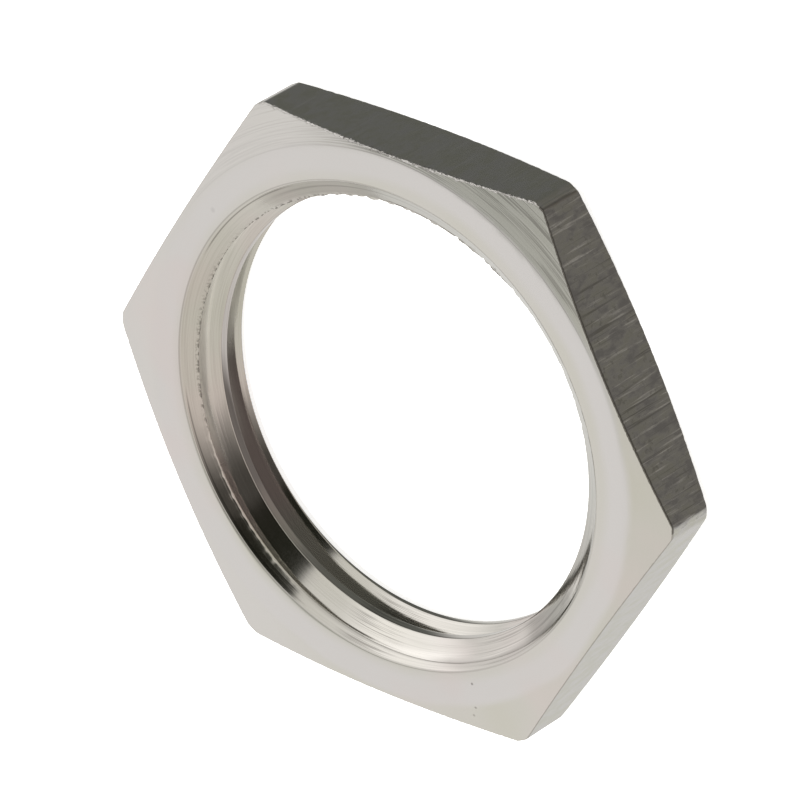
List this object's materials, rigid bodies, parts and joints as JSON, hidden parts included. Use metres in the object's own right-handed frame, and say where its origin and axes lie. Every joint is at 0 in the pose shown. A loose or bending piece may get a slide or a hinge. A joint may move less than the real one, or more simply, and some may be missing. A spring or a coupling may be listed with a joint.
{
  "type": "cable gland locknut",
  "caption": "Thin hexagon nut with a wide, fine-threaded hole, which clamps a cable gland to the wall of an enclosure.",
  "frame": {"origin": "on the axis of the threaded hole, in the plane of the lower face", "axes": "+Z along the axis of the threaded hole, up through the nut; two corners of the hexagon lie on the X axis and two spanner flats face +Y and -Y"},
  "size_m": [0.0274, 0.024, 0.0032],
  "materials": {
    "nickel_plated_brass": "bright nickel plate over brass, with turning rings on the faces and fine drawn lines on the spanner flats"
  },
  "bodies": {
    "root": {"locknut": "nickel_plated_brass"}
  },
  "joints": []
}
